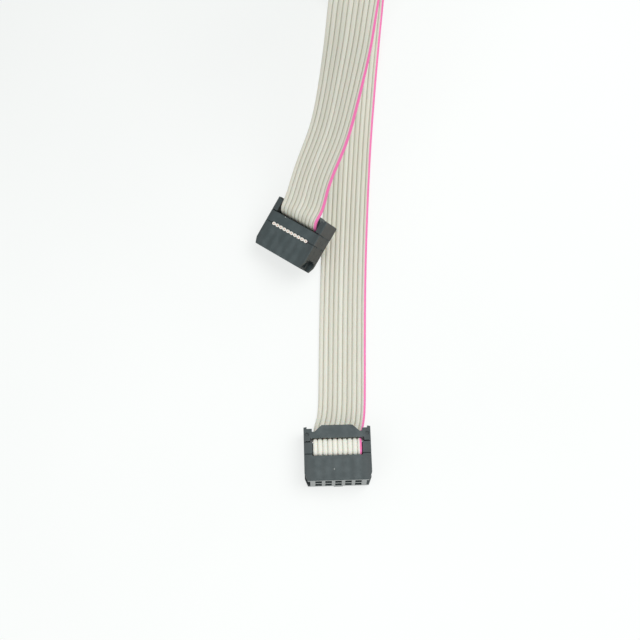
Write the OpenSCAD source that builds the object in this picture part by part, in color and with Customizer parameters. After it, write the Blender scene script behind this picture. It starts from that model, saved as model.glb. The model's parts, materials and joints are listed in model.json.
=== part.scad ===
// Flat ribbon cable with a two-row socket on each end. Millimetres.
// World: Z up, the cable lies on z = 0. The front socket is centred on x = 0, its openings face -Y.
// The ribbon runs from it along the ground, turns over in one free loop and comes back to the rear
// socket, which leans on one corner beside the ribbon.
//
// Socket frame, shared by both ends: x along the row of wires, y from the mating face (y = 0) to the
// strain relief, z across the two rows of openings, +z on the side where the ribbon loops round.

/* [Ribbon] */
// Number of wires side by side
wires = 10; // [6:2:14]
// Distance between neighbouring wires
wire_pitch = 1.27; // [1.2:0.01:1.55]
// Thickness of the ribbon over a wire
ribbon_t = 0.9; // [0.7:0.05:1.1]
// How much narrower the ribbon is than its wires' full pitch
edge_trim = 0.1; // [0:0.05:0.2]

/* [Socket body] */
// Thickness of the socket, across its two rows of openings
socket_t = 6.1; // [5.6:0.1:7.4]
// Height of the body from the mating face to its seam with the cover
body_h = 7; // [6.8:0.1:8.4]
// Plastic beyond the outer wires at each end
end_w = 2.25; // [2.1:0.05:2.7]
// Width of a pin opening along the socket
opening_w = 1.65; // [1.35:0.05:1.98]
// Width of a pin opening across the socket
opening_t = 1.9; // [1.55:0.05:2.1]
// Depth of a pin opening
opening_d = 5.25; // [4.4:0.05:5.6]
// Width of the key
key_w = 2.4; // [2:0.1:4.6]
// Height of the key up the body
key_l = 6.4; // [5.2:0.1:6.4]
// How far the key stands out
key_h = 0.7; // [0.55:0.05:0.85]
// Width of the corner cut at the mating end
corner_w = 0.8; // [0.4:0.1:1]
// Height of the corner cut at the mating end
corner_h = 2; // [1.5:0.1:2.6]
// Small bevel along the outer edges of the plastic pieces
bevel = 0.15; // [0.05:0.05:0.25]

/* [Cover] */
// Height of the cover from the body's seam to the strain relief's seam
cover_h = 3.2; // [2.8:0.1:3.9]
// Radius of the cover's edges that the ribbon wraps round
nose_r = 0.45; // [0.4:0.05:0.8]
// How far the ribbon's loops stand proud of the socket's face
loop_proud = 0.25; // [0.1:0.05:0.35]
// Width of a latch leg
leg_w = 2.4; // [2:0.1:3]
// Thickness of a latch leg
leg_t = 0.85; // [0.6:0.05:1]
// Height of a latch leg's foot above the mating face
leg_foot = 3.1; // [2.5:0.1:3.7]
// Width of the notch in the body's end, below a leg's foot
notch_w = 4.4; // [3.6:0.1:5]
// Height of the notch above the mating face
notch_h = 2.8; // [2.2:0.1:3]
// Depth of the notch
notch_d = 1.4; // [1.2:0.1:1.6]
// Width of the pocket behind the notch
pocket_w = 1.6; // [1.2:0.1:2]
// Depth of the pocket behind the notch
pocket_d = 0.5; // [0.3:0.05:0.6]
// How far a latch hook reaches in behind its leg
hook_d = 0.25; // [0.15:0.05:0.35]
// Height of a latch hook
hook_h = 0.9; // [0.7:0.1:1.2]

/* [Strain relief] */
// Height of the ears above their seam with the cover
ear_h = 3.5; // [3.1:0.1:3.8]
// Gap that shows under the inner part of an ear
ear_gap = 0.2; // [0.1:0.05:0.3]
// Width of that gap
ear_gap_w = 1.2; // [0.5:0.1:1.2]
// Width of the prong on an ear's outer edge
prong_w = 0.8; // [0.5:0.05:1]
// Height of the prong above its ear
prong_h = 0.5; // [0.4:0.1:0.8]
// Height of the bar between the ears
bar_h = 1.7; // [1.4:0.1:2]
// Height of the bar's raised middle
crown_h = 1.7; // [1.3:0.1:2]
// Width of the raised middle at its foot
crown_foot_w = 11.6; // [9.6:0.1:12]
// Width of the raised middle at its top
crown_top_w = 7.9; // [6.6:0.1:9.4]
// How far the bar is set back from the face where the ribbon leaves
bar_set_back = 2.45; // [2:0.05:2.9]
// Width of the tongue that locks an ear into the cover
tongue_w = 1.8; // [1.4:0.1:2.2]
// Length of the tongue
tongue_l = 1.9; // [1.5:0.1:2.2]
// Thickness of the tongue
tongue_t = 0.7; // [0.5:0.05:0.85]
// Diameter of the round mark on each ear
mark_d = 1; // [0.8:0.1:1.2]
// Depth of the round mark
mark_depth = 0.3; // [0.1:0.05:0.4]

/* [Contacts] */
// Thickness of the contact strip
strip_t = 0.3; // [0.2:0.05:0.35]
// Thickness of a spring beam
beam_t = 0.2; // [0.15:0.05:0.25]
// Width of a spring beam across the socket
beam_w = 1.3; // [1:0.05:1.4]
// Gap between the two beams where they grip a pin
grip = 0.5; // [0.4:0.02:0.6]
// Width of the fork that cuts into one wire
fork_w = 1.4; // [1.2:0.05:1.5]
// Width of the slot that grips the wire's core
fork_slot = 0.24; // [0.2:0.02:0.3]
// How far the fork's tips reach above the ribbon
fork_tip = 0.55; // [0.4:0.05:0.6]

/* [Clearances] */
// Between the ribbon and the plastic that clamps it
ribbon_gap = 0.05; // [0.03:0.01:0.08]
// Between the ribbon's edge and the ears
side_gap = 0.6; // [0.4:0.05:0.7]
// Between the ribbon's edge and the ends of its channel through the body and the cover
channel_gap = 0.15; // [0.05:0.05:0.3]
// Between a latch or tongue and its slot
latch_gap = 0.05; // [0.03:0.01:0.08]
// Between a contact and its cavity
contact_gap = 0.05; // [0.03:0.01:0.06]
// Between a fork's tines and the ribbon they have cut
tine_gap = 0.02; // [0.01:0.01:0.03]

/* [Placement] */
// Radius of the ribbon's turn out of the front socket
front_exit_r = 1.9; // [1.8:0.05:1.9]
// Radius of the ribbon's turn out of the rear socket
rear_exit_r = 3; // [2.4:0.1:3.6]
// Middle of the rear socket's mating face, from the middle of the front socket to the right
rear_x = -13.3; // [-15:0.1:-12]
// Middle of the rear socket's mating face, from the middle of the front socket backwards
rear_y = 53.9; // [50:0.1:56]
// Height of the rear socket's lowest corner above the ground
rear_lift = 0.06; // [0:0.01:0.3]
// Heading of the rear socket, in degrees right of +Y
rear_heading = 33; // [27.5:0.5:39]
// How far the rear socket's ribbon end is raised, in degrees
rear_pitch = 17; // [14:0.5:20]
// How far the rear socket's right side is raised, in degrees
rear_roll = 20; // [17:0.5:24]

/* [Hidden] */
contact_names = [for (end = ["front", "rear"]) for (i = [1:wires]) str(end, "_contact_", i)];

plastic = [0.27, 0.30, 0.31];
insulation = [0.80, 0.80, 0.75];
contact_metal = [0.80, 0.66, 0.42];

e = 0.01;                                     // overlap between joined or cut solids
half_t = socket_t / 2;
half_l = wires * wire_pitch / 2 + end_w;
ribbon_w = wires * wire_pitch - edge_trim;
throat = ribbon_w / 2 + side_gap;             // half the space between the ears
channel = ribbon_w / 2 + channel_gap;         // half the length of the ribbon's channel
pin_pitch = 2 * wire_pitch;
columns = wires / 2;

// Heights up the socket
clamp_y = body_h;                             // ribbon's middle where the contacts cut it
clamp_half = ribbon_t / 2 + ribbon_gap;       // half the channel that holds the ribbon
cover_y = body_h + cover_h;                   // seam between cover and strain relief
over_y = cover_y + clamp_half;                // ribbon's middle over the cover
bar_y = over_y + clamp_half;                  // underside of the bar
shoulder_y = bar_y + bar_h;                   // top of the bar beside its raised middle
crown_y = shoulder_y + crown_h;
ear_y = cover_y + ear_h;
prong_y = ear_y + prong_h;

// Places across the socket
loop_r = nose_r + clamp_half;                 // ribbon's middle round each edge of the cover
loop_z = half_t + loop_proud - ribbon_t / 2 - loop_r;
nose_z = loop_z + nose_r;                     // face of the cover behind the loops
bar_z = bar_set_back - half_t;                // face of the bar where the ribbon leaves
row_z = pin_pitch / 2;                        // middle of a row of openings
strip_z = row_z - opening_t / 2 + 2 * contact_gap;   // inner face of the contact strip
strip_top = opening_d - contact_gap;          // top of the strip, under its shoulder
beam_half = opening_w / 2 - 1.5 * contact_gap;       // outside of a spring beam
tip_y = clamp_y + ribbon_t / 2 + fork_tip;

// The ribbon's route between the two sockets: x, y, height above its rest on the ground, and the
// turn about its own run in degrees. The curve is a uniform cubic B-spline of these points, joined
// smoothly to the two exits.
rest_z = ribbon_t / 2 + 0.05;                 // ribbon's middle where it lies on the ground
route = [
    [1.2, 9, 0, 0], [1.7, 14, 0, 0], [2, 22, 0, 0], [3.2, 53, 0, 0], [6, 88, 0, 0],
    [7.5, 101, 0, 0], [8.5, 110, 0, 0], [9.5, 118, 0.2, 0], [10.5, 126, 1.5, 1],
    [11.5, 133, 4.5, 2], [12, 139.5, 9.5, 3], [12.5, 145, 16, 5], [13, 148, 24, 6],
    [13, 148.5, 32.5, 7], [13, 146.5, 41.5, 7], [12.5, 142, 49, 6], [12, 135, 54.5, 5],
    [11, 127, 57, 5], [9.5, 118, 56.5, 4], [8, 110, 53, 0], [6.5, 104, 47.5, -8],
    [5.5, 98.5, 41, -17], [4, 93.5, 34.5, -27], [2.3, 87.5, 28.5, -33], [0.1, 81, 22.8, -36],
    [-3.4, 75, 18.2, -37], [-5.6, 70, 14.8, -36]
];
rings_per_span = 2;
corner_step = 30;                             // degrees between rings round a tight corner

// ---- where the sockets lie ----
function about_x(v, a) = [v.x, v.y * cos(a) - v.z * sin(a), v.y * sin(a) + v.z * cos(a)];
function about_y(v, a) = [v.x * cos(a) + v.z * sin(a), v.y, v.z * cos(a) - v.x * sin(a)];
function about_z(v, a) = [v.x * cos(a) - v.y * sin(a), v.x * sin(a) + v.y * cos(a), v.z];

function front_turn(v) = about_x(v, -front_pitch);
function rear_turn(v) = about_z(about_x(about_y(v, 180 - rear_roll), rear_pitch), -rear_heading);

// The front socket stands on its key and on its prongs, with its box centred on the origin.
foot_y = prong_y - bevel;                     // a prong's lower corner
front_pitch = atan(key_h / (foot_y - key_l + bevel));
front_back = crown_y * cos(front_pitch) + half_t * sin(front_pitch);
front_front = -(half_t + key_h - bevel) * sin(front_pitch);
front_at = [0, -(front_back + front_front) / 2,
            foot_y * sin(front_pitch) + half_t * cos(front_pitch)];

// The rear socket leans on the lowest of its own corners.
rear_corners = concat(
    [for (x = [-1, 1]) for (z = [-1, 1]) for (y = [corner_h, prong_y]) [x * half_l, y, z * half_t]],
    [for (x = [-1, 1]) for (z = [-1, 1]) [x * (half_l - corner_w), 0, z * half_t]],
    [for (x = [-1, 1]) for (y = [0, key_l]) [x * key_w / 2, y, half_t + key_h]]);
rear_at = [rear_x, rear_y, rear_lift - min([for (c = rear_corners) rear_turn(c).z])];

module front_place() translate(front_at) rotate([-front_pitch, 0, 0]) children();
module rear_place() translate(rear_at) rotate([0, 0, -rear_heading]) rotate([rear_pitch, 0, 0])
    rotate([0, 180 - rear_roll, 0]) children();

// ---- shared shapes ----
// A rectangle between two corners with all its corners, or only those on its +x side, cut at 45 degrees
module cut_rectangle(a, b, c)
    polygon([[a.x + c, a.y], [b.x - c, a.y], [b.x, a.y + c], [b.x, b.y - c],
             [b.x - c, b.y], [a.x + c, b.y], [a.x, b.y - c], [a.x, a.y + c]]);

module half_cut_rectangle(a, b, c)
    polygon([a, [b.x - c, a.y], [b.x, a.y + c], [b.x, b.y - c], [b.x - c, b.y], [a.x, b.y]]);

// A box between two corners, bevelled along its edges, but for those that run in y and z on its -x side
module bevelled_box(a, b, c) {
    intersection() {
        translate([0, 0, a.z]) linear_extrude(b.z - a.z) half_cut_rectangle([a.x, a.y], [b.x, b.y], c);
        translate([0, b.y, 0]) rotate([90, 0, 0]) linear_extrude(b.y - a.y)
            half_cut_rectangle([a.x, a.z], [b.x, b.z], c);
        translate([a.x, 0, 0]) rotate([90, 0, 90]) linear_extrude(b.x - a.x)
            cut_rectangle([a.y, a.z], [b.y, b.z], c);
    }
}

module box(a, b) translate(a) cube(b - a);

// One copy at each end of the socket, on +x and on -x
module both_ends() {
    children();
    mirror([1, 0, 0]) children();
}

// Contact i sits over wire i. Odd wires go to the -z row and even wires to the +z row.
function wire_x(i) = (i - 0.5 - wires / 2) * wire_pitch;
function column_x(i) = (ceil(i / 2) - 0.5 - columns / 2) * pin_pitch;
function row_of(i) = i % 2 == 1 ? -1 : 1;

// A box in the contact's row: z is measured outwards from the socket's middle
module row_box(i, a, b) mirror([0, 0, row_of(i) < 0 ? 1 : 0]) box(a, b);

// ---- the socket's pieces, in the socket frame ----
module body_block() both_ends() intersection() {
    bevelled_box([-e, 0, -half_t], [half_l, body_h, half_t], bevel);
    translate([0, 0, -half_t]) linear_extrude(socket_t)
        polygon([[-e, 0], [half_l - corner_w, 0], [half_l, corner_h], [half_l, body_h], [-e, body_h]]);
}

module key(side) both_ends() mirror([0, 0, side < 0 ? 1 : 0])
    bevelled_box([-e, 0, half_t - bevel - e], [key_w / 2, key_l, half_t + key_h], bevel);

module pin_cavity(i) {
    row_box(i, [column_x(i) - opening_w / 2, -e, row_z - opening_t / 2],
            [column_x(i) + opening_w / 2, opening_d, row_z + opening_t / 2]);
    fork_passage(i, strip_top - 2 * contact_gap, body_h);
}

module fork_passage(i, low, high)
    row_box(i, [wire_x(i) - fork_w / 2 - contact_gap, low, strip_z - contact_gap],
            [wire_x(i) + fork_w / 2 + contact_gap, high, strip_z + strip_t + contact_gap]);

module socket_body(key_side) color(plastic) difference() {
    union() {
        body_block();
        key(key_side);
    }
    // half of the channel that holds the ribbon
    box([-channel, clamp_y - clamp_half, -half_t - e], [channel, body_h + e, half_t + e]);
    for (i = [1:wires]) pin_cavity(i);
    both_ends() {
        // notch below the leg's foot, with a pocket behind it
        box([half_l - notch_d, -e, -notch_w / 2], [half_l + e, notch_h, notch_w / 2]);
        box([half_l - notch_d - pocket_d, notch_h / 4, -pocket_w / 2],
            [half_l - notch_d + e, notch_h * 3 / 4, pocket_w / 2]);
        // slot for the cover's leg, and the recess for its hook
        box([half_l - leg_t - latch_gap, -e, -leg_w / 2 - latch_gap],
            [half_l + e, body_h + e, leg_w / 2 + latch_gap]);
        box([half_l - leg_t - hook_d - 2 * latch_gap, leg_foot - latch_gap, -leg_w / 2 - latch_gap],
            [half_l - leg_t, leg_foot + hook_h + latch_gap, leg_w / 2 + latch_gap]);
    }
}

// The cover's middle, seen from its end: a slab with two rounded edges that the ribbon wraps round
module nose_section() {
    low = clamp_y + clamp_half;
    polygon([[low, -half_t], [cover_y, -half_t], [cover_y, loop_z], [cover_y - nose_r, nose_z],
             [low + nose_r, nose_z], [low, loop_z]]);
    for (y = [low + nose_r, cover_y - nose_r]) translate([y, loop_z]) circle(r = nose_r, $fn = 32);
}

module cover() color(plastic) difference() {
    union() {
        translate([-channel - e, 0, 0]) rotate([90, 0, 90]) linear_extrude(2 * (channel + e)) nose_section();
        both_ends() {
            bevelled_box([channel, body_h, -half_t], [half_l, cover_y, half_t], bevel);
            box([half_l - leg_t, leg_foot, -leg_w / 2], [half_l, body_h + bevel + e, leg_w / 2]);
            box([half_l - leg_t - hook_d, leg_foot, -leg_w / 2],
                [half_l - leg_t + e, leg_foot + hook_h, leg_w / 2]);
        }
    }
    for (i = [1:wires]) fork_passage(i, body_h, tip_y + contact_gap);
    both_ends()
        box([half_l - tongue_t - latch_gap, cover_y - tongue_l - latch_gap, -tongue_w / 2 - latch_gap],
            [half_l + e, cover_y + e, tongue_w / 2 + latch_gap]);
}

// Half of the clip's outline on the +x side: ear, prong and half of the bar with its raised middle
half_clip = [[-e, bar_y], [throat, bar_y], [throat, cover_y + ear_gap],
             [throat + ear_gap_w, cover_y + ear_gap], [throat + ear_gap_w, cover_y], [half_l, cover_y],
             [half_l, prong_y - bevel], [half_l - prong_w, prong_y], [half_l - prong_w, ear_y],
             [channel, ear_y], [channel, shoulder_y], [crown_foot_w / 2, shoulder_y],
             [crown_top_w / 2, crown_y], [-e, crown_y]];

module strain_relief() color(plastic) difference() {
    both_ends() {
        translate([0, 0, bar_z]) linear_extrude(half_t - bar_z) polygon(half_clip);
        intersection() {
            bevelled_box([throat, cover_y, -half_t], [half_l, prong_y, half_t], bevel);
            translate([0, 0, -half_t]) linear_extrude(socket_t) polygon(half_clip);
        }
        box([half_l - tongue_t, cover_y - tongue_l, -tongue_w / 2],
            [half_l, cover_y + bevel + e, tongue_w / 2]);
    }
    both_ends() translate([(throat + half_l) / 2, (cover_y + ear_y) / 2 + prong_h / 2, half_t - mark_depth])
        cylinder(d = mark_d, h = mark_depth + e, $fn = 32);
}

// One contact: fork in the ribbon, strip against the inner wall, two beams beside the pin
module fork_outline() {
    half = fork_w / 2;
    slot = fork_slot / 2;
    tip = (half + slot) / 2;
    point = fork_w / 8;
    polygon([[-half, strip_top - e], [-half, tip_y - 2 * point], [-tip, tip_y], [-slot, tip_y - 2 * point],
             [-slot, clamp_y - ribbon_t], [slot, clamp_y - ribbon_t], [slot, tip_y - 2 * point],
             [tip, tip_y], [half, tip_y - 2 * point], [half, strip_top - e]]);
}

strip_l = 1.3;                                // height of the strip that joins the two beams
grip_y = 1.6;                                 // height where the beams meet the pin
flare_y = 0.9;                                // lower tips of the beams
module beam_outline() {
    out = beam_half;
    foot_y = strip_top - strip_l;
    flare = grip / 2 + beam_t;
    polygon([[out, strip_top], [out, foot_y], [grip / 2 + beam_t, grip_y], [flare + beam_t, flare_y],
             [flare, flare_y], [grip / 2, grip_y], [out - beam_t, foot_y], [out - beam_t, strip_top]]);
}

module contact(i) color(contact_metal) mirror([0, 0, row_of(i) < 0 ? 1 : 0]) {
    translate([wire_x(i), 0, strip_z]) linear_extrude(strip_t) fork_outline();
    translate([column_x(i), 0, strip_z]) {
        box([-beam_half, strip_top - strip_l, 0], [beam_half, strip_top, strip_t]);
        both_ends() linear_extrude(beam_w) beam_outline();
    }
}

// The holes that the forks' tines cut in the ribbon
module tine_holes() for (i = [1:wires]) for (side = [-1, 1]) {
    low = side < 0 ? -fork_w / 2 : fork_slot / 2;
    row_box(i, [wire_x(i) + low - tine_gap, clamp_y - ribbon_t, strip_z - tine_gap],
            [wire_x(i) + low + (fork_w - fork_slot) / 2 + tine_gap, clamp_y + ribbon_t,
             strip_z + strip_t + tine_gap]);
}

// ---- the ribbon ----
// A ring is [centre, run direction, direction of the marked edge].
// Round a corner of the given radius: the run turns from 0 to 90 degrees, in steps.
corner = [0:corner_step:90];
function socket_run(exit_r) = concat(
    [[[clamp_y, -half_t], [0, 1]]],
    [for (a = corner) [[clamp_y + loop_r * (1 - cos(a)), loop_z + loop_r * sin(a)], [sin(a), cos(a)]]],
    [for (a = corner) [[over_y - loop_r * (1 - sin(a)), loop_z + loop_r * cos(a)], [cos(a), -sin(a)]]],
    [for (a = corner) [[over_y + exit_r * (1 - cos(a)), bar_z - exit_r * sin(a)], [sin(a), -cos(a)]]]);

front_rings = [for (r = socket_run(front_exit_r))
    [front_at + front_turn([0, r[0][0], r[0][1]]), front_turn([0, r[1][0], r[1][1]]),
     front_turn([1, 0, 0])]];
rear_run = socket_run(rear_exit_r);
rear_rings = [for (k = [len(rear_run) - 1:-1:0]) let (r = rear_run[k])
    [rear_at + rear_turn([0, r[0][0], r[0][1]]), -rear_turn([0, r[1][0], r[1][1]]), rear_turn([-1, 0, 0])]];

function unit(v) = v / norm(v);
// Level direction across a run, and the direction turned about the run by an angle
function across(run) = unit([1, 0, 0] - run.x * run);
function turned(run, a) = across(run) * cos(a) + cross(across(run), run) * sin(a);
function turn_of(ring) = let (level = across(ring[1]))
    atan2(ring[2] * cross(level, ring[1]), ring[2] * level);

// Control points that make the spline leave a ring in that ring's own direction
function four(v, a) = [v.x, v.y, v.z, a];
function lead_out(ring, next) = let (reach = norm([next.x, next.y, next.z] - ring[0]),
                                     first = next - four(2 * reach * ring[1], 0))
    [first, (6 * four(ring[0], turn_of(ring)) - first - next) / 4];
start_ring = front_rings[len(front_rings) - 1];
end_ring = rear_rings[0];
end_turn = turn_of(end_ring);
laid = [for (p = route) p + [0, 0, rest_z, 0]];
last_laid = laid[len(laid) - 1];
lead_in = lead_out([end_ring[0], -end_ring[1], end_ring[2]], last_laid);
knots = concat(lead_out(start_ring, laid[0]), laid,
               [(6 * four(end_ring[0], end_turn) - lead_in[0] - last_laid) / 4, lead_in[0]]);

function spline(k, t) = (knots[k] * pow(1 - t, 3) + knots[k + 1] * (3 * pow(t, 3) - 6 * pow(t, 2) + 4)
    + knots[k + 2] * (3 * t + 3 * pow(t, 2) - 3 * pow(t, 3) + 1) + knots[k + 3] * pow(t, 3)) / 6;
function slope(k, t) = (-knots[k] * pow(1 - t, 2) + knots[k + 1] * (3 * pow(t, 2) - 4 * t)
    + knots[k + 2] * (1 + 2 * t - 3 * pow(t, 2)) + knots[k + 3] * pow(t, 2)) / 2;
function free_ring(k, t) = let (p = spline(k, t), s = slope(k, t), run = unit([s.x, s.y, s.z]))
    [[p.x, p.y, p.z], run, turned(run, p[3])];
free_rings = [for (k = [0:len(knots) - 4]) for (j = [0:rings_per_span - 1])
    if (k + j > 0) free_ring(k, j / rings_per_span)];
rings = concat(front_rings, free_rings, rear_rings);

// The ribbon's plain outline across its width: flat faces and rounded edges
edge = ribbon_t / 2;
half_outline = [for (a = [-90:45:90]) [ribbon_w / 2 - edge * (1 - cos(a)), edge * sin(a)]];
outline = concat(half_outline,
                 [for (k = [len(half_outline) - 1:-1:0]) [-half_outline[k].x, half_outline[k].y]]);

module ribbon_strip() {
    n = len(outline);
    last = len(rings) - 1;
    points = [for (r = rings) for (p = outline) r[0] + r[2] * p.x + cross(r[2], r[1]) * p.y];
    sides = [for (k = [0:last - 1]) for (j = [0:n - 1]) let (a = k * n + j, b = k * n + (j + 1) % n)
        each [[a, a + n, b + n], [a, b + n, b]]];
    polyhedron(points, concat([[for (j = [0:n - 1]) j]], sides, [[for (j = [n - 1:-1:0]) last * n + j]]));
}

module ribbon() color(insulation) difference() {
    ribbon_strip();
    front_place() tine_holes();
    rear_place() tine_holes();
}

// ---- pieces in place: the key is on the ribbon's way out in front, and on its loop side behind ----
module front_socket_body() front_place() socket_body(-1);
module front_cover() front_place() cover();
module front_strain_relief() front_place() strain_relief();
module rear_socket_body() rear_place() socket_body(1);
module rear_cover() rear_place() cover();
module rear_strain_relief() rear_place() strain_relief();

ribbon();
front_socket_body();
front_cover();
front_strain_relief();
rear_socket_body();
rear_cover();
rear_strain_relief();
for (i = [1:wires]) front_place() contact(i);
for (i = [1:wires]) rear_place() contact(i);
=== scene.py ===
"""Looks of a flat ribbon cable with a press-on socket on each end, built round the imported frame."""
import json

import bpy
import numpy as np
from mathutils import Matrix, Vector


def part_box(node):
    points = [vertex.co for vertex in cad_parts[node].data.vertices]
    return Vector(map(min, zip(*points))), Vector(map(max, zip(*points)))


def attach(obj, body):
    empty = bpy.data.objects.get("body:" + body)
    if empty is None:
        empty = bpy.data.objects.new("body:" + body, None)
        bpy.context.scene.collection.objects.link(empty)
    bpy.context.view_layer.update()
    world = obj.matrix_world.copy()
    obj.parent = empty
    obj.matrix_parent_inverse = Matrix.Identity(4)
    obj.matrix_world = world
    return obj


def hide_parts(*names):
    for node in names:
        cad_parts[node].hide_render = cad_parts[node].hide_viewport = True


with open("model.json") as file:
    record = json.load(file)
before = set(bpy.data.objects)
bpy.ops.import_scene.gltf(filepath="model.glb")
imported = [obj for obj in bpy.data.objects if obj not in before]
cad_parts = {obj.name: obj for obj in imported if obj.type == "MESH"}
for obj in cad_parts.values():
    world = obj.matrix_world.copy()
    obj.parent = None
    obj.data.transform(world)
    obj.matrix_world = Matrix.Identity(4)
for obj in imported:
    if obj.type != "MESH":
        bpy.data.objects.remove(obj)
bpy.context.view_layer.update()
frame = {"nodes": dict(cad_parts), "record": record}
nodes = frame["nodes"]
scene = bpy.context.scene


# ---- Camera ----
# A lens a little longer than normal looks steeply down on the cable from the front socket's side.
CAMERA_AIM = Vector((-0.00347, 0.03777, 0.0))
CAMERA_DISTANCE = 0.3237
CAMERA_TILT = np.radians(17.2)                # lean away from straight down
CAMERA_TURN = np.radians(-1.6)                # turn about the upright
CAMERA_LENS = 67.5                            # mm
CAMERA_SENSOR = 36                            # mm

camera_data = bpy.data.cameras.new("camera")
camera_data.lens = CAMERA_LENS
camera_data.sensor_width = CAMERA_SENSOR
camera_data.clip_start = 0.01
camera = bpy.data.objects.new("camera", camera_data)
turn = Matrix.Rotation(CAMERA_TURN, 4, "Z") @ Matrix.Rotation(CAMERA_TILT, 4, "X")
back_off = Matrix.Translation((0, 0, CAMERA_DISTANCE))
camera.matrix_world = Matrix.Translation(CAMERA_AIM) @ turn @ back_off
scene.collection.objects.link(camera)
scene.camera = camera


# ---- Ribbon ----
# Ten stranded wires lie side by side in one flat sheet of soft grey PVC, joined by thin webs between
# them. A pink line is printed along the edge of the marked wire. In each socket the cut end starts
# under the cover, wraps round the cover's two edges and leaves behind the strain relief's bar.
WIRES = 10
WIRE_PITCH = 0.00127
WIRE_R = 0.00045                              # insulation over one wire
WEB_HALF = 0.00010                            # half the thickness of the web between wires
LOBE_HALF = 0.00061                           # half the width of one wire's rounded top
LOBE_POWER = 2.3                              # 2 would make the top a plain half ellipse
WEB_POWER = 6                                 # how sharply the tops meet the web
LOBE_STEPS = 14                               # steps of the outline across one wire
RIBBON_W = WIRES * WIRE_PITCH - 0.0001
EDGE_INSET = 0.00003                          # how far the sheet stays inside its CAD solid, at an edge
FACE_INSET = 0.00001                          # and at a face
BODY_H = 0.007                                # mating face to the cut end's middle
HALF_T = 0.00305                              # half the socket's thickness
LOOP_R = 0.00095                              # ribbon's middle round each edge of the cover
LOOP_Z = 0.0019                               # height at which the first bend starts
OVER_Y = 0.0107                               # ribbon's middle on its way back down
BAR_Z = -0.0006                               # height at which it starts to bend out under the bar
FRONT_EXIT_R = 0.0019
REAR_EXIT_R = 0.003
REST_Z = WIRE_R + 0.00005                     # ribbon's middle where it lies on the ground
ROUTE = np.array([                            # x, y, height above its rest, turn in degrees
    [0.0012, 0.009, 0, 0], [0.0017, 0.014, 0, 0], [0.002, 0.022, 0, 0], [0.0032, 0.053, 0, 0],
    [0.006, 0.088, 0, 0], [0.0075, 0.101, 0, 0], [0.0085, 0.11, 0, 0], [0.0095, 0.118, 0.0002, 0],
    [0.0105, 0.126, 0.0015, 1], [0.0115, 0.133, 0.0045, 2], [0.012, 0.1395, 0.0095, 3],
    [0.0125, 0.145, 0.016, 5], [0.013, 0.148, 0.024, 6], [0.013, 0.1485, 0.0325, 7],
    [0.013, 0.1465, 0.0415, 7], [0.0125, 0.142, 0.049, 6], [0.012, 0.135, 0.0545, 5],
    [0.011, 0.127, 0.057, 5], [0.0095, 0.118, 0.0565, 4], [0.008, 0.11, 0.053, 0],
    [0.0065, 0.104, 0.0475, -8], [0.0055, 0.0985, 0.041, -17], [0.004, 0.0935, 0.0345, -27],
    [0.0023, 0.0875, 0.0285, -33], [0.0001, 0.081, 0.0228, -36], [-0.0034, 0.075, 0.0182, -37],
    [-0.0056, 0.07, 0.0148, -36],
])
ARC_STEPS = 10                                # rings round a quarter turn inside a socket
SPAN_STEPS = 6                                # rings between two points of the route
LOOP_START = 0.0048                           # where each loop starts, from the cut end
LOOP_END = 0.0098                             # and where it ends
LOOP_SWELL = 0.16                             # how much thicker the wires look where they are bent
LOOP_FADE = 0.001                             # length over which they get thicker


def unit(v):
    """A vector, or each row of an array, over its own length."""
    return v / np.linalg.norm(v, axis=-1, keepdims=True)


def box_centre(name):
    low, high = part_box(name)
    return np.array((low + high) / 2)


def socket_frame(end):
    """Where a socket stands: its mating face's middle, and columns x across the wires, y from the
    mating face to the strain relief, z towards the ribbon's loops. x runs between two contacts of one
    row, and z is the cross product of x and y."""
    mount = next(m for m in frame["record"]["mounts"] if m["name"] == end + "_mating_face")
    x = unit(box_centre(f"{end}_contact_{WIRES - 1}") - box_centre(f"{end}_contact_1"))
    y = -unit(np.array(mount["axis"]))
    return np.array(mount["pos_m"]), np.stack([x, y, np.cross(x, y)], axis=1)


def socket_run(exit_r):
    """The ribbon's middle line in a socket's y and z: straight in, then two quarter circles of the loop
    radius round the cover and one of the exit radius, with the direction of the run at each ring."""
    a = np.linspace(0, np.pi / 2, ARC_STEPS + 1)[:, None]
    c, s = np.cos(a), np.sin(a)
    at = [np.array([[BODY_H, -HALF_T], [BODY_H, -HALF_T / 2], [BODY_H, 0], [BODY_H, LOOP_Z / 2]]),
          np.hstack([BODY_H + LOOP_R * (1 - c), LOOP_Z + LOOP_R * s]),
          np.hstack([OVER_Y - LOOP_R * (1 - s), LOOP_Z + LOOP_R * c]),
          np.hstack([OVER_Y + exit_r * (1 - c), BAR_Z - exit_r * s])]
    run = [np.tile([0.0, 1.0], (4, 1)), np.hstack([s, c]), np.hstack([c, -s]), np.hstack([s, -c])]
    return np.vstack(at), np.vstack(run)


def placed_run(end, exit_r, marked):
    """A socket's run, placed: centres, run directions, and the direction of the marked edge, which is
    towards +x where marked is 1 and towards -x where it is -1."""
    at, turn = socket_frame(end)
    yz, run = socket_run(exit_r)
    axes = turn[:, 1:].T
    return at + yz @ axes, run @ axes, np.tile(marked * turn[:, 0], (len(yz), 1))


def level_frame(run):
    """The level direction across each run, which is x less its share along the run, and the direction
    square to both."""
    level = unit(np.array([1.0, 0, 0]) - run[:, :1] * run)
    return level, np.cross(level, run)


def lead_out(centre, run, turn, after):
    """The two control points before `after` that make a uniform cubic B-spline start at a ring and
    leave it in the ring's own direction, with as much reach as the next point is away. The spline
    starts at a sixth of first + 4 second + after, along after - first."""
    reach = np.linalg.norm(after[:3] - centre)
    first = after - np.append(2 * reach * run, 0)
    return first, (6 * np.append(centre, turn) - first - after) / 4


def turn_of(run, marked):
    """How far the marked edge is turned about the run from level, in degrees."""
    level, up = level_frame(run[None])
    return np.degrees(np.arctan2(marked @ up[0], marked @ level[0]))


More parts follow.
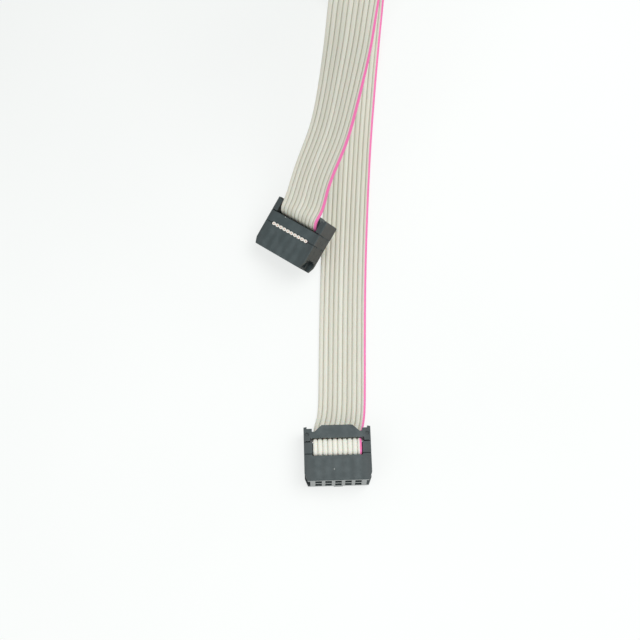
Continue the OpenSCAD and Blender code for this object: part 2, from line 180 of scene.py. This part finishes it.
def free_run(start, end):
    """The uniform cubic B-spline over the route's control points, as centres, runs and marked edges:
    each point is a sum of four control points, weighted by the cubic basis functions, and its run is
    the sum weighted by their slopes. The edge is level, turned about the run by the fourth value."""
    laid = ROUTE + [0, 0, REST_Z, 0]
    first, second = lead_out(start[0], start[1], turn_of(start[1], start[2]), laid[0])
    last, before_last = lead_out(end[0], -end[1], turn_of(end[1], end[2]), laid[-1])
    knots = np.vstack([first, second, laid, before_last, last])
    t = np.arange(SPAN_STEPS)[None, :, None] / SPAN_STEPS
    k = [knots[i:len(knots) - 3 + i, None, :] for i in range(4)]
    at = (k[0] * (1 - t) ** 3 + k[1] * (3 * t ** 3 - 6 * t ** 2 + 4)
          + k[2] * (3 * t + 3 * t ** 2 - 3 * t ** 3 + 1) + k[3] * t ** 3) / 6
    run = (-k[0] * (1 - t) ** 2 + k[1] * (3 * t ** 2 - 4 * t)
           + k[2] * (1 + 2 * t - 3 * t ** 2) + k[3] * t ** 2)
    at, run = at.reshape(-1, 4)[1:], unit(run.reshape(-1, 4)[1:, :3])
    level, up = level_frame(run)
    angle = np.radians(at[:, 3:])
    return at[:, :3], run, level * np.cos(angle) + up * np.sin(angle)


front_run = placed_run("front", FRONT_EXIT_R, 1)
rear_run = [part[::-1] for part in placed_run("rear", REAR_EXIT_R, -1)]
rear_run[1] = -rear_run[1]
loose_run = free_run([part[-1] for part in front_run], [part[0] for part in rear_run])
whole_run = [np.vstack(parts) for parts in zip(front_run, loose_run, rear_run)]
ribbon_path, ribbon_run, ribbon_edge = whole_run
ribbon_face = np.cross(ribbon_edge, ribbon_run)
ribbon_along = np.append(0, np.cumsum(np.linalg.norm(np.diff(ribbon_path, axis=0), axis=1)))


def ribbon_outline():
    """The ribbon's section: x from the plain to the marked edge, and its half thickness there. Over
    each wire it is a superellipse, blended with the web by a power mean, and past the middle of the
    outermost wires it is a half ellipse that closes the edge."""
    edge = RIBBON_W / 2 - EDGE_INSET
    centres = (np.arange(WIRES) - (WIRES - 1) / 2) * WIRE_PITCH
    u = np.sin(np.linspace(-1, 1, LOBE_STEPS + 1) * np.pi / 2) / 2      # closer together by the web
    x = np.append(centres[:, None] + u[:-1] * WIRE_PITCH, centres[-1] + u[-1] * WIRE_PITCH)
    x = np.unique(np.clip(x, -edge, edge))
    off = np.abs(x - centres[np.abs(x[:, None] - centres).argmin(1)]) / LOBE_HALF
    h = WIRE_R * np.clip(1 - off ** LOBE_POWER, 0, 1) ** (1 / LOBE_POWER)
    h = (h ** WEB_POWER + WEB_HALF ** WEB_POWER) ** (1 / WEB_POWER)
    past = np.clip((np.abs(x) - centres[-1]) / (edge - centres[-1]), 0, 1)
    h = np.where(past > 0, WIRE_R * np.sqrt(1 - past ** 2), h)
    return x, np.minimum(h, WIRE_R - FACE_INSET)


def grid_faces(rings, sides):
    """Quads between rings of that many points each. They face outwards where a ring's points run
    clockwise, seen from beyond the last ring."""
    i, j = np.meshgrid(np.arange(rings - 1), np.arange(sides), indexing="ij")
    a = i * sides + j
    b = i * sides + (j + 1) % sides
    return np.stack([a, a + sides, b + sides, b], axis=-1).reshape(-1, 4)


def mesh_object(name, points, faces):
    """A piece from points and quads. A quad that names a point twice is a triangle."""
    mesh = bpy.data.meshes.new(name)
    mesh.from_pydata(points.tolist(), [], [list(dict.fromkeys(f)) for f in faces.tolist()])
    mesh.update()
    piece = bpy.data.objects.new(name, mesh)
    scene.collection.objects.link(piece)
    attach(piece, "root")
    return piece


# The outline is carried along the path: each point is the path's, plus x along the marked edge and the
# half thickness along the face, which swells where the ribbon bends round the cover.
outline_x, outline_h = ribbon_outline()
section_x = np.concatenate([outline_x, outline_x[-2:0:-1]])
section_h = np.concatenate([-outline_h, outline_h[-2:0:-1]])
rings, sides = len(ribbon_path), len(section_x)
from_cut = np.minimum(ribbon_along, ribbon_along[-1] - ribbon_along)
bent = np.interp(from_cut, [LOOP_START - LOOP_FADE, LOOP_START, LOOP_END, LOOP_END + LOOP_FADE],
                 [0, 1, 1, 0])
thick = (1 + LOOP_SWELL * bent)[:, None, None]
ribbon_points = (ribbon_path[:, None] + ribbon_edge[:, None] * section_x[None, :, None]
                 + ribbon_face[:, None] * section_h[None, :, None] * thick).reshape(-1, 3)


def end_cap(ring):
    """Quads across one end, between the two faces of the ribbon, with a triangle at each edge."""
    below = np.arange(len(outline_x))
    above = (sides - below) % sides           # the point on the other face, over the same x
    return ring * sides + np.stack([below[:-1], below[1:], above[1:], above[:-1]], axis=-1)


ribbon_faces = np.vstack([grid_faces(rings, sides), end_cap(0), end_cap(rings - 1)[:, ::-1]])
ribbon = mesh_object("ribbon_sheet", ribbon_points, ribbon_faces)
# Its own map: u counts the wires from the plain edge, and v is the length from the front cut, in metres.
wire_place = section_x / WIRE_PITCH + WIRES / 2
corner = np.empty(len(ribbon.data.loops), int)
ribbon.data.loops.foreach_get("vertex_index", corner)
lay = np.stack([wire_place[corner % sides], ribbon_along[corner // sides]], axis=-1)
uv = ribbon.data.uv_layers.new(name="ribbon_lay")
uv.data.foreach_set("uv", lay.ravel())
is_cut = np.arange(len(ribbon_faces)) >= len(ribbon_faces) - 2 * (len(outline_x) - 1)
ribbon.data.polygons.foreach_set("use_smooth", ~is_cut)
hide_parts("ribbon")


def new_material(name):
    """A material, and its node tree emptied."""
    material = bpy.data.materials.new(name)
    material.use_nodes = True
    material.node_tree.nodes.clear()
    return material, material.node_tree


def add(tree, kind, inputs=(), **settings):
    """One node: its settings first, then its inputs, each a value or another node's output."""
    node = tree.nodes.new(kind)
    for key, value in settings.items():
        setattr(node, key, value)
    for key, value in dict(inputs).items():
        if isinstance(value, bpy.types.NodeSocket):
            tree.links.new(value, node.inputs[key])
        else:
            node.inputs[key].default_value = value
    return node


def surface(tree, inputs):
    """The material's shader with these inputs, joined to its output."""
    shader = add(tree, "ShaderNodeBsdfPrincipled", inputs)
    add(tree, "ShaderNodeOutputMaterial", {"Surface": shader.outputs[0]})


def own_place(tree):
    """The piece's own coordinates, in metres."""
    return add(tree, "ShaderNodeTexCoord").outputs["Object"]


def maths(tree, operation, *values, clamp=False):
    node = add(tree, "ShaderNodeMath", enumerate(values), operation=operation, use_clamp=clamp)
    return node.outputs[0]


def times(tree, a, b):
    return maths(tree, "MULTIPLY", a, b)


def step_mask(tree, value, low, high):
    """0 below low, 1 above high, with a smooth rise between."""
    node = add(tree, "ShaderNodeMapRange", {"Value": value, "From Min": low, "From Max": high},
               interpolation_type="SMOOTHSTEP")
    return node.outputs["Result"]


def spread(tree, value, low, high):
    """A value from 0 to 1, spread evenly over low to high."""
    return add(tree, "ShaderNodeMapRange", {"Value": value, "To Min": low, "To Max": high}).outputs[0]


def noise(tree, at, scale, detail, roughness=0.5):
    """Soft random clouds from 0 to 1, with this many to a metre, and finer ones for each detail."""
    return add(tree, "ShaderNodeTexNoise", {"Vector": at, "Scale": scale, "Detail": detail,
                                            "Roughness": roughness}).outputs[0]


def blend_colour(tree, factor, a, b):
    """Colour a, with b laid over it by the factor. Each is a colour or another node's output."""
    sockets = {0: factor, 6: a, 7: b}             # where the node takes a factor and two colours
    inputs = {key: (*value, 1) if isinstance(value, tuple) else value for key, value in sockets.items()}
    return add(tree, "ShaderNodeMix", inputs, data_type="RGBA").outputs[2]


def new_group(name, vectors, numbers, results):
    """An empty node group, with named vector inputs, number inputs with their values, and results."""
    group = bpy.data.node_groups.new(name, "ShaderNodeTree")
    for label in vectors:
        group.interface.new_socket(name=label, in_out="INPUT", socket_type="NodeSocketVector")
    for label, value in numbers.items():
        socket = group.interface.new_socket(name=label, in_out="INPUT", socket_type="NodeSocketFloat")
        socket.default_value = value
    for label in results:
        group.interface.new_socket(name=label, in_out="OUTPUT", socket_type="NodeSocketFloat")
    return group, group.nodes.new("NodeGroupInput").outputs, group.nodes.new("NodeGroupOutput")


def use_group(tree, group, **inputs):
    return add(tree, "ShaderNodeGroup", inputs, node_tree=group).outputs


def make_specks():
    """Dust and specks: a mask that is 1 in a few small round spots and 0 elsewhere. Cells of a Voronoi
    pattern hold one spot each, and only the cells whose random value is under Share show theirs."""
    group, given, out = new_group("specks", ["Vector"], {"Spacing": 0.002, "Share": 0.1, "Radius": 0.04},
                                  ["Mask"])
    scale = maths(group, "DIVIDE", 1.0, given["Spacing"])
    cells = add(group, "ShaderNodeTexVoronoi", {"Vector": given["Vector"], "Scale": scale})
    draw = add(group, "ShaderNodeSeparateColor", {"Color": cells.outputs["Color"]}).outputs[0]
    chosen = maths(group, "LESS_THAN", draw, given["Share"])
    spot = maths(group, "LESS_THAN", cells.outputs["Distance"], given["Radius"])
    group.links.new(times(group, chosen, spot), out.inputs["Mask"])
    return group


specks = make_specks()

PVC_GREY = (0.72, 0.715, 0.625)
# the darker PVC tone for the random wire tones and streaks, also the painted shade in the webs' grooves
PVC_DARK_TONE_AND_SHADE = (0.45, 0.43, 0.335)
PVC_PINK = (0.82, 0.17, 0.42)
PVC_PALE = (0.83, 0.835, 0.76)
PVC_DUST = (0.33, 0.24, 0.14)
# a dark colour painted as the shade inside a socket's channel
PVC_CHANNEL_SHADE = (0.06, 0.06, 0.055)
CUT_PALE = (0.86, 0.84, 0.78)
CUT_DARK = (0.72, 0.69, 0.62)
WIRE_TONES = 0.22                             # how much the shade differs from wire to wire
STREAK_TONES = 0.35                           # and along the streaks
CLEAN = 0.08                                  # shade that is left out, so that most wires are plain
STREAKS_ACROSS = 2.2                          # to a wire
STREAKS_ALONG = 45.0                          # to a metre
WEB_SHADE_FROM = 0.39                               # painted shade in the web's groove begins here, in wires from a wire's middle
WEB_SHADE_TO = 0.47                                 # and is full here
# how strong the painted shade in the web's groove is
WEB_SHADE_DEPTH = 0.75
LOOP_PALE_SPAN = (0.0035, 0.0085)                  # paler between these distances from each cut end
LOOP_PALE_FADE = 0.001
LOOP_PALENESS = 0.58                           # how pale the wires turn over the loops
LOOP_PALE_WEB_LESS = 0.25                            # and how much less of it the web shows
CHANNEL_SHADE_SPAN = (0.0020, 0.0030)                       # painted shade of the socket's channel, as far as this from each cut
# how strong that painted shade is
CHANNEL_SHADE_DEPTH = 0.85
STRIPE_W = 0.49                               # share of the marked wire that is printed
STRIPE_FADE = 0.03
STRIPE_WAVES = 160.0                          # wavers of the stripe's edge to a metre
STRIPE_WAVER = 0.06                           # their size, in wires


def ribbon_material():
    """Soft grey PVC. u of the ribbon's own map counts wires from the plain edge and v is metres along
    it. Each wire has its own slight tone, long streaks run along it, the web carries painted shade, the
    skin is paler over the loops round the cover, and painted shade darkens it where a socket's channel
    holds it."""
    material, tree = new_material("grey_ribbon_pvc")
    lay = add(tree, "ShaderNodeUVMap", uv_map="ribbon_lay").outputs["UV"]
    u, v, _ = add(tree, "ShaderNodeSeparateXYZ", {"Vector": lay}).outputs
    place = own_place(tree)

    wire = maths(tree, "FLOOR", u)
    tone = add(tree, "ShaderNodeTexWhiteNoise", {"W": wire}, noise_dimensions="1D").outputs["Value"]
    streak_at = add(tree, "ShaderNodeCombineXYZ", {"X": times(tree, u, STREAKS_ACROSS),
                                                   "Y": times(tree, v, STREAKS_ALONG)}).outputs[0]
    streak = noise(tree, streak_at, 1.0, 4.0)
    shade = maths(tree, "ADD", times(tree, tone, WIRE_TONES), times(tree, streak, STREAK_TONES))
    colour = blend_colour(tree, maths(tree, "SUBTRACT", shade, CLEAN, clamp=True), PVC_GREY, PVC_DARK_TONE_AND_SHADE)

    # Painted shade in the grooves of the webs between the wires.
    off_wire = maths(tree, "ABSOLUTE", maths(tree, "SUBTRACT", maths(tree, "FRACT", u), 0.5))
    web_shade = step_mask(tree, off_wire, WEB_SHADE_FROM, WEB_SHADE_TO)
    colour = blend_colour(tree, times(tree, web_shade, WEB_SHADE_DEPTH), colour, PVC_DARK_TONE_AND_SHADE)

    from_end = maths(tree, "MINIMUM", v, maths(tree, "SUBTRACT", float(ribbon_along[-1]), v))
    # Paler over the loops round the cover.
    loop_pale = times(tree, step_mask(tree, from_end, 0.0, LOOP_PALE_SPAN[0]),
                    step_mask(tree, from_end, LOOP_PALE_SPAN[1] + LOOP_PALE_FADE, LOOP_PALE_SPAN[1]))
    pale = maths(tree, "SUBTRACT", LOOP_PALENESS, times(tree, web_shade, LOOP_PALE_WEB_LESS))
    colour = blend_colour(tree, times(tree, loop_pale, pale), colour, PVC_PALE)

    waver = add(tree, "ShaderNodeTexNoise", {"W": times(tree, v, STRIPE_WAVES), "Scale": 1.0},
                noise_dimensions="1D").outputs[0]
    edge = maths(tree, "ADD", u, times(tree, waver, STRIPE_WAVER))
    start = WIRES - STRIPE_W
    stripe = step_mask(tree, edge, start - STRIPE_FADE, start + STRIPE_FADE)
    colour = blend_colour(tree, stripe, colour, PVC_PINK)
    # Painted shade where a socket's channel holds the ribbon, near each cut end.
    channel_shade = step_mask(tree, from_end, CHANNEL_SHADE_SPAN[1], CHANNEL_SHADE_SPAN[0])
    colour = blend_colour(tree, times(tree, channel_shade, CHANNEL_SHADE_DEPTH), colour, PVC_CHANNEL_SHADE)
    dust = use_group(tree, specks, Vector=place, Spacing=0.0035, Share=0.05, Radius=0.035)["Mask"]
    colour = blend_colour(tree, times(tree, dust, 0.55), colour, PVC_DUST)

    grain = noise(tree, place, 9000.0, 3.0)
    height = maths(tree, "ADD", times(tree, grain, 0.5), streak)
    bump = add(tree, "ShaderNodeBump", {"Height": height, "Strength": 0.12, "Distance": 0.00004})
    surface(tree, {"Base Color": colour, "Roughness": spread(tree, grain, 0.40, 0.56), "IOR": 1.5,
                   "Subsurface Weight": 0.08, "Subsurface Scale": 0.0006, "Normal": bump.outputs[0]})
    return material


def cut_material():
    """Freshly cut PVC, paler than the skin, with the faint scoring of the shears."""
    material, tree = new_material("cut_pvc")
    score = noise(tree, own_place(tree), 6000.0, 5.0)
    bump = add(tree, "ShaderNodeBump", {"Height": score, "Strength": 0.4, "Distance": 0.00005})
    surface(tree, {"Base Color": blend_colour(tree, score, CUT_PALE, CUT_DARK), "Roughness": 0.6,
                   "Normal": bump.outputs[0]})
    return material


ribbon.data.materials.append(ribbon_material())
ribbon.data.materials.append(cut_material())
ribbon.data.polygons.foreach_set("material_index", is_cut.astype(int))


# ---- Wire cores ----
# Each wire's core is seven thin bare copper strands, one in the middle and six round it. They show
# only at the two cut ends of the ribbon, flush with the insulation but for the drag of the shears.
STRAND_R = 0.0000635
STRAND_APART = 2.04                           # from middle to middle, in strand radii
STRAND_OUT = 0.00002                          # how far the strands stand out of the cut
STRAND_SHOULDER = 0.4                         # share of that which is straight, below the rounded tip
STRAND_TIP = 0.6                              # the tip's radius, as a share of the strand's
STRAND_DEEP = 0.0003
STRAND_SIDES = 10
STRANDS = 7
COPPER = (0.86, 0.42, 0.27)
COPPER_FILM = (0.55, 0.30, 0.21)


def strand_points(centre, edge, face, out):
    """The strands of every wire at one end: round posts whose rings are a circle in the cut's plane, at
    two depths along the way out and a smaller one on top, which rounds the tip."""
    angle = np.linspace(0, 2 * np.pi, STRAND_SIDES, endpoint=False)
    around = np.arange(STRANDS - 1) * 2 * np.pi / (STRANDS - 1)
    ring_of_six = STRAND_APART * STRAND_R * np.stack([np.cos(around), np.sin(around)], -1)
    lay = np.vstack([[0, 0], ring_of_six])
    x = (np.arange(WIRES) - (WIRES - 1) / 2) * WIRE_PITCH
    middle = centre + x[:, None, None] * edge + lay[None, :, :1] * edge + lay[None, :, 1:] * face
    circle = STRAND_R * (np.cos(angle)[:, None] * edge + np.sin(angle)[:, None] * face)
    depth = np.array([-STRAND_DEEP, STRAND_OUT * STRAND_SHOULDER, STRAND_OUT])
    wide = np.array([1, 1, STRAND_TIP])
    return (middle[:, :, None, None] + circle[None, None, None] * wide[:, None, None]
            + out * depth[:, None, None]).reshape(-1, 3)


def strand_faces(count):
    """Each post's walls, and rows of quads over its tip and its foot."""
    n = STRAND_SIDES
    walls = grid_faces(3, n)[:, ::-1]
    row = np.arange(n // 2 - 1)
    foot = np.stack([n - 1 - row, n - 2 - row, row + 1, row], -1)
    tip = 2 * n + foot[:, ::-1]
    one = np.vstack([walls, tip, foot])
    return (np.arange(count)[:, None, None] * 3 * n + one).reshape(-1, 4)


def strand_material():
    """Bare copper strands: warm, bright, with a dull film that changes from strand to strand."""
    material, tree = new_material("copper_strand")
    film = noise(tree, own_place(tree), 5000.0, 3.0)
    surface(tree, {"Base Color": blend_colour(tree, film, COPPER, COPPER_FILM),
                   "Roughness": spread(tree, film, 0.25, 0.5), "Metallic": 0.9})
    return material


copper = strand_material()
for end, ring, outwards in (("front", 0, -1), ("rear", rings - 1, 1)):
    out = outwards * ribbon_run[ring]
    posts = strand_points(ribbon_path[ring], ribbon_edge[ring], np.cross(out, ribbon_edge[ring]), out)
    cores = mesh_object(end + "_wire_cores", posts, strand_faces(STRANDS * WIRES))
    cores.data.materials.append(copper)


# ---- Sockets ----
# Three mouldings of glass-filled black plastic clip together at each end: the body with its pin
# openings and key, the cover that presses the ribbon on to the contacts, and the strain relief.
# They have come from a spark-eroded mould, so they are finely matt; their edges carry a painted
# highlight, their mating faces a painted reflection, and seams and notches painted shade.
PLASTIC = (0.039, 0.056, 0.058)
# paler tone for the random clouds and bands, also the painted highlight along the edges
PLASTIC_PALE = (0.080, 0.102, 0.105)
# darker tone for ring marks, darker patches and bands, also the painted shade in seams and notches
PLASTIC_DEEP = (0.026, 0.034, 0.035)
PLASTIC_END = (0.038, 0.0365, 0.031)
# the mating face painted paler, a painted reflection of the bright sheet in front of it
PLASTIC_MATING_SHEEN = (0.205, 0.225, 0.217)
CHIP_WHITE = (0.62, 0.64, 0.60)
PIN_PITCH = 2 * WIRE_PITCH
BANDS_Y = (0.0052, 0.0064)                    # the bands fade out between these heights
COVER_Y = 0.0102                              # seam between cover and strain relief
# width of the painted shade in the seams between the mouldings
SEAM_SHADE_W = 0.00026
RING_X = 0.00775                              # round marks on the ears of the strain relief
RING_Y = 0.0122
RING_R = 0.00046
RING_W = 0.00012
END_DARKENING_X = (0.0058, 0.0082)                   # darker cloudy patches grow between these distances from the middle
END_DARKENING_CLOUDS = (0.32, 0.56)
# The end faces carry painted shade over their notch, a recess:
NOTCH_IN_X = (0.0065, 0.0068)                 # the end's notch, over its inner side,
NOTCH_OUT_X = (0.0085, 0.0083)                # its mouth
NOTCH_Y = (0.0031, 0.0029)                    # and its far side
SCORING = (300.0, 7000.0, 900.0)              # scores to a metre along x, y and z
NICKS = {"front": (-0.0010, 0.0029, HALF_T), "rear": (0.0035, 0.0100, -HALF_T)}
NICK_R = 0.00012
EDGE_HIGHLIGHT_W = 0.00012                              # how far the painted edge highlight reaches in from an edge
SOFT_EDGE = 0.00005                           # rounding of the mouldings' edges


def make_mould_marks_and_shade():
    """What the mould leaves, and painted shade, with Vector and Facing in the socket's own x, y and z.
    Clouds are broad and soft, Bands are a cosine wave over the pin openings, from -1 to 1, End and
    Mating are the faces that look along x and back along y, and the dark marks mask is ring marks,
    darker cloudy patches towards each end, and painted shade in the seams and the end's notches."""
    group, given, out = new_group("mould_marks_and_shade", ["Vector", "Facing"], {},
                                  ["Clouds", "Bands", "End", "Mating", "MarksAndShade", "Height"])
    x, y, _ = add(group, "ShaderNodeSeparateXYZ", {"Vector": given["Vector"]}).outputs
    face_x, face_y, face_z = add(group, "ShaderNodeSeparateXYZ", {"Vector": given["Facing"]}).outputs
    from_middle = maths(group, "ABSOLUTE", x)
    clouds = noise(group, given["Vector"], 420.0, 5.0, 0.6)
    wide_face = step_mask(group, maths(group, "ABSOLUTE", face_z), 0.8, 0.95)
    ends = step_mask(group, maths(group, "ABSOLUTE", face_x), 0.7, 0.95)
    mating = step_mask(group, times(group, face_y, -1.0), 0.7, 0.95)

    wave = maths(group, "COSINE", times(group, x, 2 * np.pi / PIN_PITCH))
    in_body = maths(group, "SUBTRACT", 1.0, step_mask(group, y, *BANDS_Y))
    bands = times(group, times(group, wave, wide_face), in_body)

    off_x = maths(group, "SUBTRACT", from_middle, RING_X)
    off_y = maths(group, "SUBTRACT", y, RING_Y)
    off_mark = maths(group, "SQRT", maths(group, "ADD", times(group, off_x, off_x),
                                          times(group, off_y, off_y)))
    off_ring = maths(group, "ABSOLUTE", maths(group, "SUBTRACT", off_mark, RING_R))
    marks_and_shade = times(group, step_mask(group, off_ring, RING_W, RING_W / 2), wide_face)
    end_darkening = times(group, step_mask(group, from_middle, *END_DARKENING_X),
                   times(group, wide_face, step_mask(group, clouds, *END_DARKENING_CLOUDS)))
    marks_and_shade = maths(group, "MAXIMUM", marks_and_shade, times(group, end_darkening, 0.85))
    # Painted shade in the seams between body, cover and strain relief.
    for seam in (BODY_H, COVER_Y):
        off_seam = maths(group, "ABSOLUTE", maths(group, "SUBTRACT", y, seam))
        marks_and_shade = maths(group, "MAXIMUM", marks_and_shade, step_mask(group, off_seam, SEAM_SHADE_W, SEAM_SHADE_W / 2))
    # Painted shade in the notch of each end.
    notch_shade = times(group, step_mask(group, from_middle, *NOTCH_OUT_X),
                  times(group, step_mask(group, from_middle, *NOTCH_IN_X), step_mask(group, y, *NOTCH_Y)))
    marks_and_shade = maths(group, "MAXIMUM", marks_and_shade, times(group, notch_shade, ends))

    scoring = add(group, "ShaderNodeVectorMath", {0: given["Vector"], 1: SCORING}, operation="MULTIPLY")
    score = noise(group, scoring.outputs[0], 1.0, 3.0)
    grain = noise(group, given["Vector"], 9500.0, 4.0)
    height = maths(group, "ADD", grain, times(group, ends, times(group, score, 1.5)))
    for label, value in (("Clouds", clouds), ("Bands", bands), ("End", ends), ("Mating", mating),
                         ("MarksAndShade", marks_and_shade), ("Height", height)):
        group.links.new(value, out.inputs[label])
    return group


def make_edge_highlight():
    """A mask for a painted highlight along the outer edges: where a bevelled normal leaves the true one,
    broken up by noise.
    """
    group, given, out = new_group("edge_highlight", ["Vector"], {"Width": 0.0001}, ["Mask"])
    soft = add(group, "ShaderNodeBevel", {"Radius": given["Width"]}, samples=4).outputs[0]
    flat = add(group, "ShaderNodeNewGeometry").outputs["True Normal"]
    alike = add(group, "ShaderNodeVectorMath", {0: soft, 1: flat}, operation="DOT_PRODUCT")
    edge = step_mask(group, maths(group, "SUBTRACT", 1.0, alike.outputs["Value"]), 0.02, 0.12)
    patchy = step_mask(group, noise(group, given["Vector"], 2200.0, 3.0), 0.38, 0.62)
    group.links.new(times(group, edge, patchy), out.inputs["Mask"])
    return group


mould_marks_and_shade = make_mould_marks_and_shade()
edge_highlight = make_edge_highlight()


def socket_plastic(end, at, turn):
    """Black moulded plastic, in the coordinates of one socket: a Mapping node turns the place and the
    facing of each point by the inverse of the socket's turn, and puts the mating face's middle at 0."""
    material, tree = new_material(end + "_socket_plastic")
    back = Matrix(turn.T.tolist())
    rotation = back.to_euler()
    local = add(tree, "ShaderNodeMapping", {"Vector": own_place(tree), "Location": back @ Vector(-at),
                                            "Rotation": rotation}, vector_type="POINT").outputs[0]
    facing = add(tree, "ShaderNodeNewGeometry").outputs["True Normal"]
    facing = add(tree, "ShaderNodeMapping", {"Vector": facing, "Rotation": rotation},
                 vector_type="NORMAL").outputs[0]
    marks = use_group(tree, mould_marks_and_shade, Vector=local, Facing=facing)
    edge_highlight_mask = use_group(tree, edge_highlight, Vector=local, Width=EDGE_HIGHLIGHT_W)["Mask"]

    colour = PLASTIC
    cloud = step_mask(tree, marks["Clouds"], 0.35, 0.68)
    # Among these tints, the mating face's is a painted reflection, the dark marks carry painted shade in
    # seams and notches, and the edge mask lays a painted highlight.
    for mask, share, tint in ((cloud, 0.45, PLASTIC_PALE), (marks["Bands"], -0.28, PLASTIC_DEEP),
                              (marks["Bands"], 0.18, PLASTIC_PALE), (marks["End"], 0.8, PLASTIC_END),
                              (marks["Mating"], 0.9, PLASTIC_MATING_SHEEN), (marks["MarksAndShade"], 0.8, PLASTIC_DEEP),
                              (edge_highlight_mask, 0.35, PLASTIC_PALE)):
        factor = maths(tree, "MULTIPLY", mask, share, clamp=True)
        colour = blend_colour(tree, factor, colour, tint)
    chips = use_group(tree, specks, Vector=local, Spacing=0.003, Share=0.05, Radius=0.06)["Mask"]
    from_nick = add(tree, "ShaderNodeVectorMath", {0: local, 1: NICKS[end]}, operation="DISTANCE")
    nick = maths(tree, "LESS_THAN", from_nick.outputs["Value"], NICK_R)
    colour = blend_colour(tree, times(tree, maths(tree, "MAXIMUM", chips, nick), 0.8), colour, CHIP_WHITE)

    rough = maths(tree, "SUBTRACT", spread(tree, marks["Clouds"], 0.6, 0.4),
                  times(tree, marks["Mating"], 0.27))
    rounded = add(tree, "ShaderNodeBevel", {"Radius": SOFT_EDGE}, samples=4).outputs[0]
    bump = add(tree, "ShaderNodeBump", {"Height": marks["Height"], "Strength": 0.22,
                                        "Distance": 0.00005, "Normal": rounded})
    surface(tree, {"Base Color": colour, "Roughness": rough, "IOR": 1.52, "Normal": bump.outputs[0]})
    return material


for end in ("front", "rear"):
    plastic = socket_plastic(end, *socket_frame(end))
    for moulding in ("socket_body", "cover", "strain_relief"):
        mesh = nodes[f"{end}_{moulding}"].data
        mesh.materials.clear()
        mesh.materials.append(plastic)


# ---- Contacts ----
# One strip of plated spring bronze per wire: a fork above that cuts through the insulation, and two
# beams below that grip a pin. Only the beams' tips show, deep in the openings.
BRONZE = (0.83, 0.66, 0.38)
BRONZE_FILM = (0.70, 0.52, 0.30)


def contact_material():
    """Plated bronze with a patchy dull film, and the fine marks of rolling and stamping."""
    material, tree = new_material("plated_bronze")
    place = own_place(tree)
    film = noise(tree, place, 1800.0, 4.0)
    drawn = noise(tree, place, 14000.0, 2.0)
    bump = add(tree, "ShaderNodeBump", {"Height": drawn, "Strength": 0.15, "Distance": 0.00002})
    surface(tree, {"Base Color": blend_colour(tree, film, BRONZE, BRONZE_FILM),
                   "Roughness": spread(tree, film, 0.22, 0.42), "Metallic": 1.0,
                   "Normal": bump.outputs[0]})
    return material


bronze = contact_material()
for name, node in nodes.items():
    if "_contact_" in name:
        node.data.materials.clear()
        node.data.materials.append(bronze)


# ---- Studio ----
# A white sheet lies under the cable. It glows faintly like a light table, a little less to the back
# left, so that shadows on it stay faint. A broad soft light hangs above and to the right and a weak
# one to the left, in an even bright room.
FLOOR_HALF = 3.0
FLOOR_DROP = 0.00002
SHEET_WHITE = (0.23, 0.235, 0.23)
SHEET_LIGHT = (0.985, 1.0, 0.99)
SHEET_GLOW = 0.72
GLOW_MOTTLE = 0.03                            # how much the glow changes from place to place
GLOW_FALL = 0.08                              # how much weaker it is at the back left
FALL_AT = (0.03, 0.26)                        # y less x where it starts to fall, and where it has
ROOM_COLOUR = (0.97, 0.99, 1.0)
ROOM_LIGHT = 0.62
LIGHTS = {                                    # place, diameter, watts
    "overhead": ((0.38, 0.16, 0.86), 0.8, 5.4),
    "fill": ((-0.7, -0.5, 0.7), 0.6, 1.2),
}
LIGHT_AIM = Vector((0, 0.04, 0))

floor_mesh = bpy.data.meshes.new("floor")
corners = [(x * FLOOR_HALF, y * FLOOR_HALF, -FLOOR_DROP) for x, y in ((-1, -1), (1, -1), (1, 1), (-1, 1))]
floor_mesh.from_pydata(corners, [], [(0, 1, 2, 3)])
floor = bpy.data.objects.new("floor", floor_mesh)
scene.collection.objects.link(floor)

sheet, tree = new_material("white_sheet")
place = own_place(tree)
mottle = noise(tree, place, 9.0, 3.0)
glow = spread(tree, mottle, SHEET_GLOW - GLOW_MOTTLE, SHEET_GLOW + GLOW_MOTTLE)
x, y, _ = add(tree, "ShaderNodeSeparateXYZ", {"Vector": place}).outputs
falloff = step_mask(tree, maths(tree, "SUBTRACT", y, x), *FALL_AT)
glow = maths(tree, "SUBTRACT", glow, times(tree, falloff, GLOW_FALL))
surface(tree, {"Base Color": (*SHEET_WHITE, 1), "Roughness": 0.7, "Specular IOR Level": 0.2,
               "Emission Color": (*SHEET_LIGHT, 1), "Emission Strength": glow})
floor_mesh.materials.append(sheet)

world = bpy.data.worlds.new("room")
world.use_nodes = True
background = world.node_tree.nodes["Background"]
background.inputs["Color"].default_value = (*ROOM_COLOUR, 1)
background.inputs["Strength"].default_value = ROOM_LIGHT
scene.world = world

for name, (at, size, power) in LIGHTS.items():
    data = bpy.data.lights.new(name, "AREA")
    data.shape = "DISK"
    data.size = size
    data.energy = power
    light = bpy.data.objects.new(name, data)
    aim = (LIGHT_AIM - Vector(at)).to_track_quat("-Z", "Y")
    light.matrix_world = Matrix.Translation(at) @ aim.to_matrix().to_4x4()
    scene.collection.objects.link(light)
scene.view_settings.view_transform = "Standard"
